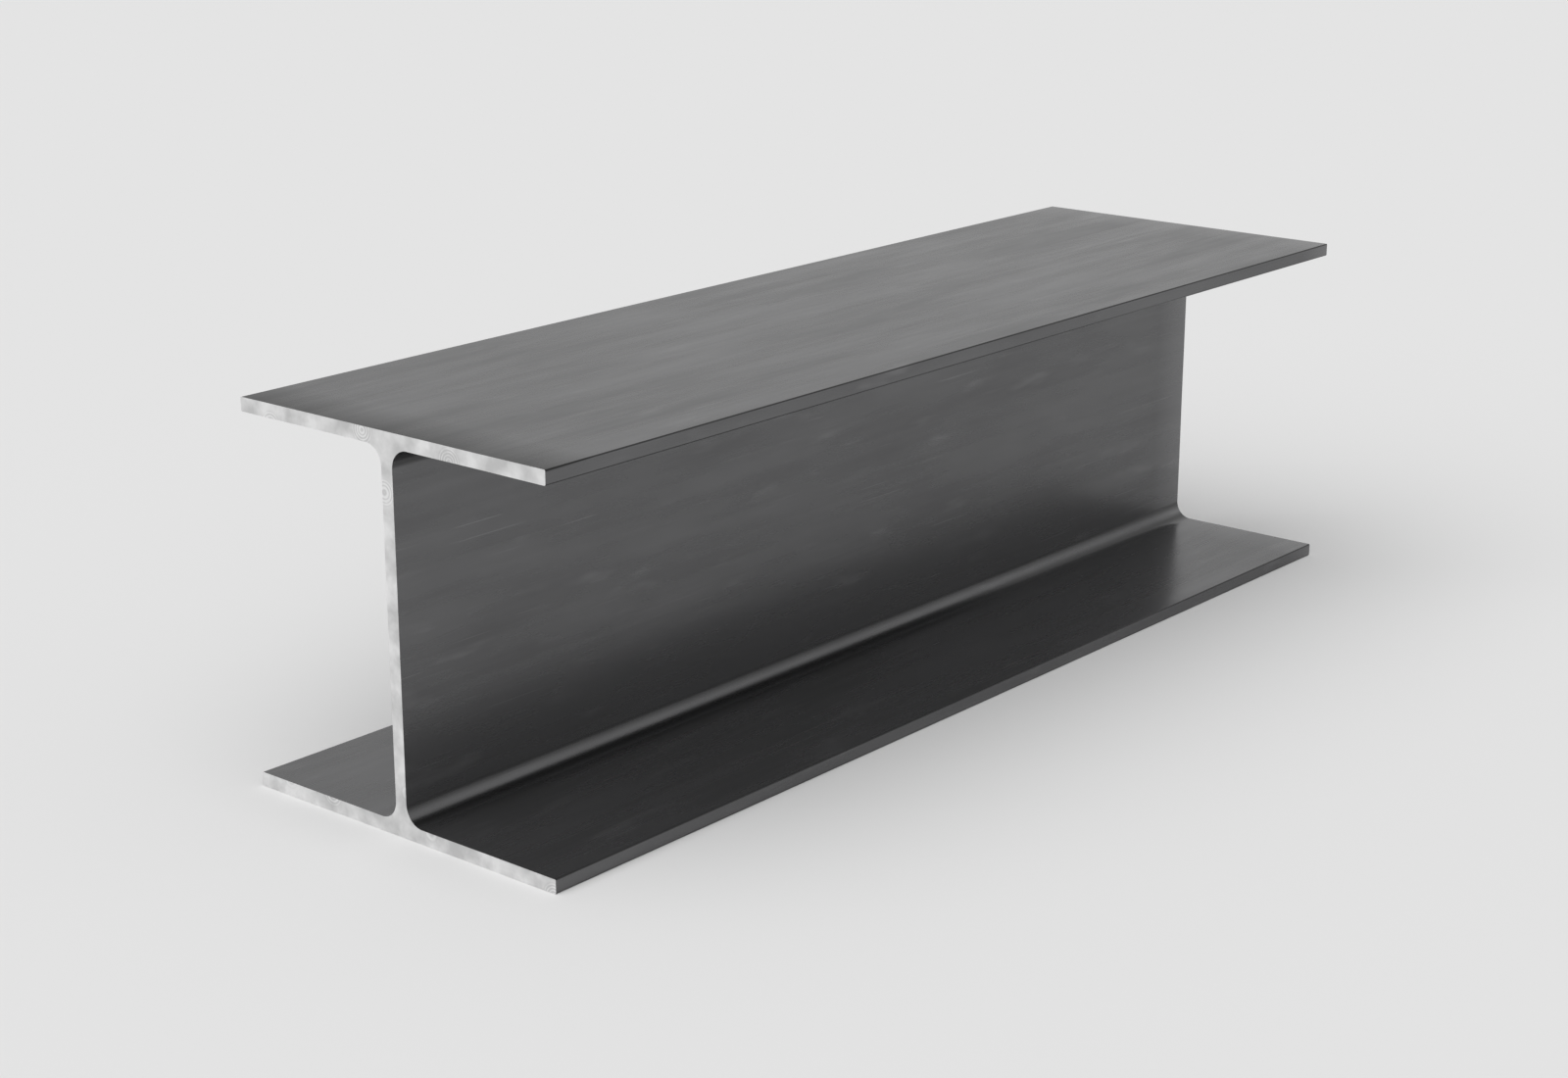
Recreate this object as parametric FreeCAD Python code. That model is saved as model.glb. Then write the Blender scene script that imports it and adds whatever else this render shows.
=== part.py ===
import FreeCAD, Part
import os
from math import sqrt

# Steel H-pile: one length of bearing-pile section, rolled in one piece and sawn square at both ends.
# Millimetres. X runs along the pile, Y across the flanges, Z up through the depth of the section.
# The pile lies on its bottom flange, and the origin is the middle of that flange's outer face.

pile_length = 1016.0       # saw cut to saw cut
section_depth = 299.3      # outer face of the bottom flange to outer face of the top flange
flange_width = 306.4       # toe to toe
flange_thickness = 11.1
web_thickness = 11.0       # nearly the flange's own thickness, as in every bearing pile
root_radius = 15.2         # fillet that the rolls leave where the web runs into a flange
toe_radius = 1.0           # slight rounding of the four long edges of each flange


def section_corners():
    """Corners of the section as (y, z, radius), going round once from the bottom flange's +Y toe."""
    toe = flange_width / 2
    web_face = web_thickness / 2
    lower_inner = flange_thickness
    upper_inner = section_depth - flange_thickness
    right_side = [
        (toe, 0, toe_radius),
        (toe, lower_inner, toe_radius),
        (web_face, lower_inner, root_radius),
        (web_face, upper_inner, root_radius),
        (toe, upper_inner, toe_radius),
        (toe, section_depth, toe_radius),
    ]
    left_side = [(-y, z, radius) for y, z, radius in reversed(right_side)]
    return right_side + left_side


def rounded_corner(before, corner, after, radius):
    """Arc that rounds one right-angled corner and is tangent to the runs on both sides of it."""
    towards_before = (before - corner).normalize() * radius
    towards_after = (after - corner).normalize() * radius
    middle = corner + (towards_before + towards_after) * (1 - 1 / sqrt(2))
    return Part.Arc(corner + towards_before, middle, corner + towards_after)


def section_outline():
    """Closed outline of the section, straight runs joined by arcs, in the plane of one sawn end."""
    corners = section_corners()
    points = [FreeCAD.Vector(-pile_length / 2, y, z) for y, z, radius in corners]
    arcs = []
    for i, (y, z, radius) in enumerate(corners):
        following = points[(i + 1) % len(points)]
        arcs.append(rounded_corner(points[i - 1], points[i], following, radius))
    edges = []
    for i, arc in enumerate(arcs):
        following = arcs[(i + 1) % len(arcs)]
        edges.append(arc.toShape())
        edges.append(Part.LineSegment(arc.EndPoint, following.StartPoint).toShape())
    return Part.Wire(edges)


def h_pile():
    """The whole pile: the rolled section carried from one saw cut to the other."""
    section = Part.Face(section_outline())
    return section.extrude(FreeCAD.Vector(pile_length, 0, 0))


os.makedirs("parts", exist_ok=True)
h_pile().exportStep("parts/h_pile.step")
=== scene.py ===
import bpy
import bmesh
from math import atan2, degrees, exp, pi, radians
from mathutils import Matrix, Vector, noise


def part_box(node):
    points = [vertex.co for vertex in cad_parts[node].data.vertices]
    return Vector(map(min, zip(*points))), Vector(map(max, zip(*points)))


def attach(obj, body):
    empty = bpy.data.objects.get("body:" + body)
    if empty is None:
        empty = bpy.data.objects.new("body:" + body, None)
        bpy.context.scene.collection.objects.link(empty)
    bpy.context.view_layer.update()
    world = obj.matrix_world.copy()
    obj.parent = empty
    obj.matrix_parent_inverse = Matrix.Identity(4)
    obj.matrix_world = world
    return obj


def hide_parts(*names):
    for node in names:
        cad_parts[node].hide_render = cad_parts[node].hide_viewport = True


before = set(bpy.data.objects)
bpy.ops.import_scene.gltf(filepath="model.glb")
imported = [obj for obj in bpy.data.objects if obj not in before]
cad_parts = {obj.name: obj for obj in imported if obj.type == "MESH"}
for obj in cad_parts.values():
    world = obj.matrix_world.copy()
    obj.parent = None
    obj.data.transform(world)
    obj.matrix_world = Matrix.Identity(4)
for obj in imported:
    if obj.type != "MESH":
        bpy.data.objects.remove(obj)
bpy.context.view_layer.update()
low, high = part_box("h_pile")


def linear(hexColour):
    # sRGB hex to the linear values that shaders take
    channels = [int(hexColour[i:i + 2], 16) / 255 for i in (1, 3, 5)]
    return [c / 12.92 if c <= 0.04045 else ((c + 0.055) / 1.055) ** 2.4 for c in channels] + [1.0]


def addNode(tree, kind, settings=None, inputs=None):
    # one node: settings are its own options; an input is a value, a socket, or a node whose first
    # output is linked
    node = tree.nodes.new(kind)
    for name, value in (settings or {}).items():
        setattr(node, name, value)
    for name, value in (inputs or {}).items():
        if isinstance(value, bpy.types.Node):
            value = value.outputs[0]
        if isinstance(value, bpy.types.NodeSocket):
            tree.links.new(value, node.inputs[name])
        else:
            node.inputs[name].default_value = value
    return node


def newMaterial(name):
    material = bpy.data.materials.new(name)
    material.use_nodes = True
    material.node_tree.nodes.clear()
    return material, material.node_tree


# hot-rolled steel under mill scale, the thin grey-black iron oxide skin that forms while the steel is
# rolled red hot. It is hard and half glossy: it mirrors pale surroundings dimly, is drawn out
# lengthwise in clouds and streaks, and looks smooth, with only a trace of fine pebbling.
millScale = {
    "dark": "#626263",
    "light": "#6B6B6C",
    # rubbed scale, and also the colour of the painted sheen at the +X end
    "rubbed": "#8A8A8B",
    "paintedShade": "#2C2C2C",        # painted shade along the toes, in the roots and on the top by the -X saw cut
    # how strongly the painted shade darkens the toes, the roots and the top by the -X cut
    "toeShade": 0.8,
    "rootShade": 0.7,
    "headShade": 1.0,
    "grazingTint": 0.78,       # oxide mirrors a little less than clean metal at low angles
    "metallic": 0.8,           # a semi-metal: the oxide scatters a little light as well
    "roughness": 0.27,
    "roughnessSpread": 0.08,
    "clouds": {"along": 0.16, "across": 0.026, "detail": 4.0},
    "streaks": {"along": 0.30, "across": 0.0045, "detail": 3.0, "shift": 3.7},
    "patches": {"along": 0.075, "across": 0.016, "detail": 2.0, "shift": 8.1},
    "scratches": {"along": 0.11, "across": 0.0011, "detail": 1.0, "shift": 5.3},
    "pebbles": {"along": 0.0034, "across": 0.0018, "detail": 2.0, "shift": 1.9},
    "streakShare": 0.35,       # strength of the streaks beside the clouds
    "toneLow": 0.48,           # the dark tone below this, the light one above toneHigh
    "toneHigh": 0.88,
    "patchLow": 0.58,          # patches and scratches show where their noise is over the low value
    "patchHigh": 0.80,
    "patchRub": 0.3,           # how pale they get, of 1 for rubbed
    "scratchLow": 0.74,
    "scratchHigh": 0.79,
    "scratchRub": 0.6,
    "pebbleHeight": 0.00004,
    "topDepth": 0.001,         # metres below the top within which a point is on the top face
    "endRun": 0.046,           # length of the last stretch before each saw cut
    "tailSheen": 0.50,           # strength of the painted sheen at the +X end
}


def drawnNoise(tree, position, along, across, detail, shift=0.0):
    # noise drawn out along the pile: a cell is along metres in X and across metres in Y and Z, and
    # shift keeps one pattern clear of another
    cells = addNode(tree, "ShaderNodeMapping", inputs={
        "Vector": position, "Location": (shift, shift, shift),
        "Scale": (1 / along, 1 / across, 1 / across)})
    return addNode(tree, "ShaderNodeTexNoise", inputs={
        "Vector": cells, "Scale": 1.0, "Detail": detail, "Roughness": 0.55})


def hotRolledMillScale(spec):
    material, tree = newMaterial("hotRolledMillScale")
    position = addNode(tree, "ShaderNodeTexCoord").outputs["Object"]
    clouds = drawnNoise(tree, position, **spec["clouds"])
    streaks = drawnNoise(tree, position, **spec["streaks"])
    patches = drawnNoise(tree, position, **spec["patches"])
    scratches = drawnNoise(tree, position, **spec["scratches"])
    pebbles = drawnNoise(tree, position, **spec["pebbles"])
    tone = addNode(tree, "ShaderNodeMath", {"operation": "MULTIPLY_ADD"}, {
        0: streaks, 1: spec["streakShare"], 2: clouds})
    tone = addNode(tree, "ShaderNodeMapRange", inputs={
        "Value": tone, "From Min": spec["toneLow"], "From Max": spec["toneHigh"]})
    rubbed = addNode(tree, "ShaderNodeMapRange", {"interpolation_type": "SMOOTHSTEP"}, {
        "Value": patches, "From Min": spec["patchLow"], "From Max": spec["patchHigh"],
        "To Max": spec["patchRub"]})
    scored = addNode(tree, "ShaderNodeMapRange", {"interpolation_type": "SMOOTHSTEP"}, {
        "Value": scratches, "From Min": spec["scratchLow"], "From Max": spec["scratchHigh"],
        "To Max": spec["scratchRub"]})

    # the two ends: head rises to 1 at the -X cut and counts on the top face alone, as painted shade there;
    # tail rises at the +X cut, as a painted sheen there
    place = addNode(tree, "ShaderNodeSeparateXYZ", inputs={0: position})
    head = addNode(tree, "ShaderNodeMapRange", inputs={
        "Value": place, "From Min": low.x + spec["endRun"], "From Max": low.x})
    tail = addNode(tree, "ShaderNodeMapRange", inputs={
        "Value": place, "From Min": high.x - spec["endRun"], "From Max": high.x, "To Max": spec["tailSheen"]})
    topFace = addNode(tree, "ShaderNodeMapRange", inputs={
        "Value": place.outputs["Z"], "From Min": high.z - 2 * spec["topDepth"],
        "From Max": high.z - spec["topDepth"], "To Max": spec["headShade"]})

    # pale where rubbed or scratched, with a painted sheen at the +X end; dark with painted shade along the
    # toes, in the roots and on the top by the -X cut
    pale = addNode(tree, "ShaderNodeMath", {"operation": "ADD"}, {0: rubbed, 1: scored})
    pale = addNode(tree, "ShaderNodeMath", {"operation": "ADD", "use_clamp": True}, {0: pale, 1: tail})
    toes = addNode(tree, "ShaderNodeAttribute", {"attribute_name": "toeEdge"}).outputs["Fac"]
    roots = addNode(tree, "ShaderNodeAttribute", {"attribute_name": "rootShade"}).outputs["Fac"]
    paintedShade = addNode(tree, "ShaderNodeMath", {"operation": "MULTIPLY"}, {0: head, 1: topFace})
    paintedShade = addNode(tree, "ShaderNodeMath", {"operation": "MULTIPLY_ADD"}, {
        0: toes, 1: spec["toeShade"], 2: paintedShade})
    paintedShade = addNode(tree, "ShaderNodeMath", {"operation": "MULTIPLY_ADD", "use_clamp": True}, {
        0: roots, 1: spec["rootShade"], 2: paintedShade})
    colour = addNode(tree, "ShaderNodeMix", {"data_type": "RGBA"}, {
        0: tone, 6: linear(spec["dark"]), 7: linear(spec["light"])})
    colour = addNode(tree, "ShaderNodeMix", {"data_type": "RGBA"}, {
        0: pale, 6: colour.outputs[2], 7: linear(spec["rubbed"])})
    colour = addNode(tree, "ShaderNodeMix", {"data_type": "RGBA"}, {
        0: paintedShade, 6: colour.outputs[2], 7: linear(spec["paintedShade"])})
    rough = addNode(tree, "ShaderNodeMapRange", inputs={
        "Value": tone, "To Min": spec["roughness"] + spec["roughnessSpread"] / 2,
        "To Max": spec["roughness"] - spec["roughnessSpread"] / 2})

    height = addNode(tree, "ShaderNodeMath", {"operation": "MULTIPLY"}, {
        0: pebbles, 1: spec["pebbleHeight"]})
    bump = addNode(tree, "ShaderNodeBump", inputs={"Height": height, "Strength": 1.0, "Distance": 1.0})
    shader = addNode(tree, "ShaderNodeBsdfPrincipled", inputs={
        "Base Color": colour.outputs[2], "Metallic": spec["metallic"], "Roughness": rough,
        "Specular Tint": [spec["grazingTint"]] * 3 + [1.0], "Normal": bump})
    addNode(tree, "ShaderNodeOutputMaterial", inputs={"Surface": shader})
    return material


# bare steel where the band saw went through: bright, matt and cloudy, with rings such as a grinding
# disc leaves where it takes off the burr
sawnSteel = {
    "dull": "#D5D5D5",
    "bright": "#F7F7F7",
    "roughness": 0.5,
    "clouds": {"along": 0.022, "across": 0.022, "detail": 3.0},
    "cloudLow": 0.35,          # the dull colour below this, the bright one above cloudHigh
    "cloudHigh": 0.65,
    "grain": {"along": 0.0012, "across": 0.0012, "detail": 2.0},
    "grainHeight": 0.00003,
    "ringSpacing": 0.0022,     # finer on real steel, drawn this coarse so that the rings show
    "ringCell": 0.032,         # about one set of rings in each cell
    "ringReach": 0.012,
    "ringFade": 0.6,           # they fade out from this share of their reach
    "ringTone": 0.50,
    "ringHeight": 0.00005,
}


def sawCutSteel(spec):
    material, tree = newMaterial("sawCutSteel")
    position = addNode(tree, "ShaderNodeTexCoord").outputs["Object"]
    clouds = drawnNoise(tree, position, **spec["clouds"])
    grain = drawnNoise(tree, position, **spec["grain"])
    flat = addNode(tree, "ShaderNodeMapping", inputs={
        "Vector": position, "Scale": (0.0, 1 / spec["ringCell"], 1 / spec["ringCell"])})
    cells = addNode(tree, "ShaderNodeTexVoronoi", {"feature": "F1"}, {"Vector": flat, "Scale": 1.0})
    wave = addNode(tree, "ShaderNodeMath", {"operation": "MULTIPLY"}, {
        0: cells, 1: 2 * pi * spec["ringCell"] / spec["ringSpacing"]})
    wave = addNode(tree, "ShaderNodeMath", {"operation": "SINE"}, {0: wave})
    near = addNode(tree, "ShaderNodeMapRange", {"interpolation_type": "SMOOTHSTEP"}, {
        "Value": cells, "From Min": spec["ringReach"] * spec["ringFade"] / spec["ringCell"],
        "From Max": spec["ringReach"] / spec["ringCell"], "To Min": 1.0, "To Max": 0.0})
    rings = addNode(tree, "ShaderNodeMath", {"operation": "MULTIPLY"}, {0: wave, 1: near})
    tone = addNode(tree, "ShaderNodeMapRange", inputs={
        "Value": clouds, "From Min": spec["cloudLow"], "From Max": spec["cloudHigh"]})
    tone = addNode(tree, "ShaderNodeMath", {"operation": "MULTIPLY_ADD"}, {
        0: rings, 1: spec["ringTone"], 2: tone})
    colour = addNode(tree, "ShaderNodeMix", {"data_type": "RGBA"}, {
        0: tone, 6: linear(spec["dull"]), 7: linear(spec["bright"])})
    height = addNode(tree, "ShaderNodeMath", {"operation": "MULTIPLY"}, {
        0: grain, 1: spec["grainHeight"]})
    height = addNode(tree, "ShaderNodeMath", {"operation": "MULTIPLY_ADD"}, {
        0: rings, 1: spec["ringHeight"], 2: height})
    bump = addNode(tree, "ShaderNodeBump", inputs={"Height": height, "Strength": 1.0, "Distance": 1.0})
    shader = addNode(tree, "ShaderNodeBsdfPrincipled", inputs={
        "Base Color": colour.outputs[2], "Metallic": 1.0, "Roughness": spec["roughness"], "Normal": bump})
    addNode(tree, "ShaderNodeOutputMaterial", inputs={"Surface": shader})
    return material


pile = {
    "flangeThickness": 0.0111,
    "webThickness": 0.0110,
    "rootRadius": 0.0152,
    "toeRadius": 0.0010,
    "highlightTurn": 34,         # degrees round the root from the web, where the root's highlight is left clear of painted shade
    "highlightSpread": 14,
    "webFade": 8,              # degrees over which the painted shade grows from the web
    "flangeFade": 32,          # and fades again towards the flange
    "cutEdge": 0.0003,         # fine bevel that the file leaves round a saw cut
    "rootSegments": 16,
    "toeSegments": 4,
    "cutSegments": 2,
    "cutFacing": 0.3,          # a face that turns further than this to X is part of a saw cut
    "sharpAngle": 30,          # degrees
    "cell": 0.010,             # size of the mesh's squares on the flat faces
    "waveDepth": 0.00022,      # how far the rolls leave the faces from dead flat
    "waveLength": 0.26,
    "waveWidth": 0.055,
}


def outlineCorners(spec):
    # the square-cornered section, right half from the bottom up and then the left half down
    toe, web = high.y, spec["webThickness"] / 2
    lower, upper = low.z + spec["flangeThickness"], high.z - spec["flangeThickness"]
    right = [(toe, low.z), (toe, lower), (web, lower), (web, upper), (toe, upper), (toe, high.z)]
    return right + [(-y, z) for y, z in reversed(right)]


def runsAlong(edge):
    return abs(edge.verts[0].co.x - edge.verts[1].co.x) > (high.x - low.x) / 2


def rootShade(place, spec):
    # painted shade round a root, which narrows the highlight that the root mirrors: none at the two tangents
    # and in a band near the middle, where the highlight stays
    fromWeb = abs(place.y) - spec["webThickness"] / 2
    fromFlange = min(place.z - low.z, high.z - place.z) - spec["flangeThickness"]
    turn = degrees(atan2(spec["rootRadius"] - fromFlange, spec["rootRadius"] - fromWeb))
    band = 1 - exp(-((turn - spec["highlightTurn"]) / spec["highlightSpread"]) ** 2)
    return band * max(0.0, min(1.0, turn / spec["webFade"], (90 - turn) / spec["flangeFade"]))


def bevelEdges(bm, edges, width, segments):
    return bmesh.ops.bevel(bm, geom=edges, offset=width, offset_type="OFFSET", segments=segments,
                           profile=0.5, affect="EDGES", material=-1)


def cutAcross(bm, axis, start, end, cell):
    # loops square to one axis, evenly spaced about a cell apart between start and end
    count = max(1, round((end - start) / cell))
    for i in range(count + 1):
        place, normal = Vector(), Vector()
        place[axis] = start + (end - start) * i / count
        normal[axis] = 1
        bmesh.ops.bisect_plane(bm, geom=bm.verts[:] + bm.edges[:] + bm.faces[:], dist=1e-6,
                               plane_co=place, plane_no=normal)


def waveFaces(bm, spec):
    # the faces wander inwards by up to waveDepth, and the ends keep their place along X
    bm.normal_update()
    steps = Vector((1 / spec["waveLength"], 1 / spec["waveWidth"], 1 / spec["waveWidth"]))
    for vert in bm.verts:
        depth = spec["waveDepth"] * (0.5 + 0.5 * noise.noise(vert.co * steps))
        inward = vert.normal * Vector((0, 1, 1))
        vert.co -= inward * depth


def buildPile(spec):
    bm = bmesh.new()
    corners = [bm.verts.new((low.x, y, z)) for y, z in outlineCorners(spec)]
    grown = bmesh.ops.extrude_face_region(bm, geom=[bm.faces.new(corners)])["geom"]
    moved = [v for v in grown if isinstance(v, bmesh.types.BMVert)]
    bmesh.ops.translate(bm, verts=moved, vec=(high.x - low.x, 0, 0))
    bmesh.ops.recalc_face_normals(bm, faces=bm.faces)
    roots = [e for e in bm.edges if runsAlong(e) and abs(e.verts[0].co.y) < spec["webThickness"]]
    # painted shade for the roots, stored on their vertices
    rootLayer = bm.verts.layers.float.new("rootShade")
    for vert in bevelEdges(bm, roots, spec["rootRadius"], spec["rootSegments"])["verts"]:
        vert[rootLayer] = rootShade(vert.co, spec)
    toes = [e for e in bm.edges if runsAlong(e) and abs(e.verts[0].co.y) > high.y - 1e-5]
    # the faces of the toe roundings, marked for a thin line of painted shade along the toes
    toeLayer = bm.faces.layers.float.new("toeEdge")
    for face in bevelEdges(bm, toes, spec["toeRadius"], spec["toeSegments"])["faces"]:
        face[toeLayer] = 1.0
    cuts = [e for e in bm.edges if not runsAlong(e)]
    bevelEdges(bm, cuts, spec["cutEdge"], spec["cutSegments"])
    web, root, toe = spec["webThickness"] / 2, spec["rootRadius"], spec["toeRadius"]
    for side in (-1, 1):
        edges = sorted((side * (web + root), side * (high.y - toe)))
        cutAcross(bm, 1, edges[0], edges[1], spec["cell"])
    cutAcross(bm, 2, low.z + spec["flangeThickness"] + root, high.z - spec["flangeThickness"] - root,
              spec["cell"])
    cutAcross(bm, 0, low.x + spec["cell"], high.x - spec["cell"], spec["cell"])
    waveFaces(bm, spec)
    for face in bm.faces:
        face.smooth = True
        face.material_index = 1 if abs(face.normal.x) > spec["cutFacing"] else 0
    mesh = bpy.data.meshes.new("steelPile")
    bm.to_mesh(mesh)
    bm.free()
    return mesh


print("rolling the pile")
steelPile = bpy.data.objects.new("steelPile", buildPile(pile))
bpy.context.scene.collection.objects.link(steelPile)
steelPile.data.materials.append(hotRolledMillScale(millScale))
steelPile.data.materials.append(sawCutSteel(sawnSteel))
steelPile.data.set_sharp_from_angle(angle=radians(pile["sharpAngle"]))
weighted = steelPile.modifiers.new("flatFaces", "WEIGHTED_NORMAL")
weighted.keep_sharp = True
print("faces", len(steelPile.data.polygons))
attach(steelPile, "root")
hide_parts("h_pile")

studio = {
    "paleGrey": "#E4E4E4",     # floor and surroundings
    "floorSide": 60.0,
    "skyWhite": "#FFFFFF",
    "skyForFloor": 0.32,       # share of the light that comes from all round
    "keyTilt": 32.0,           # degrees from overhead, leaning to the sawn end that faces the camera
    "keyTurn": 188.0,          # degrees round from +X
    "keyWidth": 85.0,          # degrees across, for soft shadows
}


def buildFloor(spec):
    bm = bmesh.new()
    bmesh.ops.create_grid(bm, x_segments=1, y_segments=1, size=spec["floorSide"] / 2)
    mesh = bpy.data.meshes.new("floor")
    bm.to_mesh(mesh)
    bm.free()
    floor = bpy.data.objects.new("floor", mesh)
    bpy.context.scene.collection.objects.link(floor)
    material, tree = newMaterial("mattPaleFloor")
    shader = addNode(tree, "ShaderNodeBsdfDiffuse", inputs={"Color": linear(spec["paleGrey"])})
    addNode(tree, "ShaderNodeOutputMaterial", inputs={"Surface": shader})
    mesh.materials.append(material)


def buildLight(spec):
    tilt = radians(spec["keyTilt"])
    key = bpy.data.lights.new("key", "SUN")
    key.angle = radians(spec["keyWidth"])
    keyShare = 1 - spec["skyForFloor"]
    key.energy = keyShare * pi / Vector((0, 0, 1)).dot(Matrix.Rotation(tilt, 3, "Y") @ Vector((0, 0, 1)))
    lamp = bpy.data.objects.new("key", key)
    bpy.context.scene.collection.objects.link(lamp)
    lamp.rotation_euler = (0, tilt, radians(spec["keyTurn"]))
    lamp.visible_glossy = False        # the metal mirrors the surroundings alone
    world = bpy.data.worlds.new("studio")
    bpy.context.scene.world = world
    world.use_nodes = True
    tree = world.node_tree
    tree.nodes.clear()
    # seen directly or mirrored the surroundings are an even pale grey, and matt surfaces are lit by a
    # weaker white sky
    path = addNode(tree, "ShaderNodeLightPath")
    seen = addNode(tree, "ShaderNodeMath", {"operation": "ADD"}, {
        0: path.outputs["Is Camera Ray"], 1: path.outputs["Is Glossy Ray"]})
    seen = addNode(tree, "ShaderNodeMath", {"operation": "ADD", "use_clamp": True}, {
        0: seen, 1: path.outputs["Is Transmission Ray"]})
    even = addNode(tree, "ShaderNodeBackground", inputs={"Color": linear(spec["paleGrey"]), "Strength": 1.0})
    sky = addNode(tree, "ShaderNodeBackground", inputs={
        "Color": linear(spec["skyWhite"]), "Strength": spec["skyForFloor"]})
    mixed = addNode(tree, "ShaderNodeMixShader", inputs={0: seen, 1: sky, 2: even})
    addNode(tree, "ShaderNodeOutputWorld", inputs={"Surface": mixed})


print("laying the floor and lights")
buildFloor(studio)
buildLight(studio)

view = {
    "position": (-1.7226, -1.3763, 0.7746),         # metres
    "direction": (0.73242, 0.61555, -0.29095),
    "lens": 63.15,                                  # millimetres, as is the sensor's width
    "sensor": 36.0,
    "farthest": 200,                                # metres, well past the floor's corners
}


def buildCamera(spec):
    camera = bpy.data.cameras.new("camera")
    camera.lens = spec["lens"]
    camera.sensor_width = spec["sensor"]
    camera.clip_end = spec["farthest"]
    holder = bpy.data.objects.new("camera", camera)
    bpy.context.scene.collection.objects.link(holder)
    holder.location = spec["position"]
    holder.rotation_euler = Vector(spec["direction"]).to_track_quat("-Z", "Y").to_euler()
    bpy.context.scene.camera = holder


print("placing the camera")
buildCamera(view)
bpy.context.scene.view_settings.view_transform = "Standard"
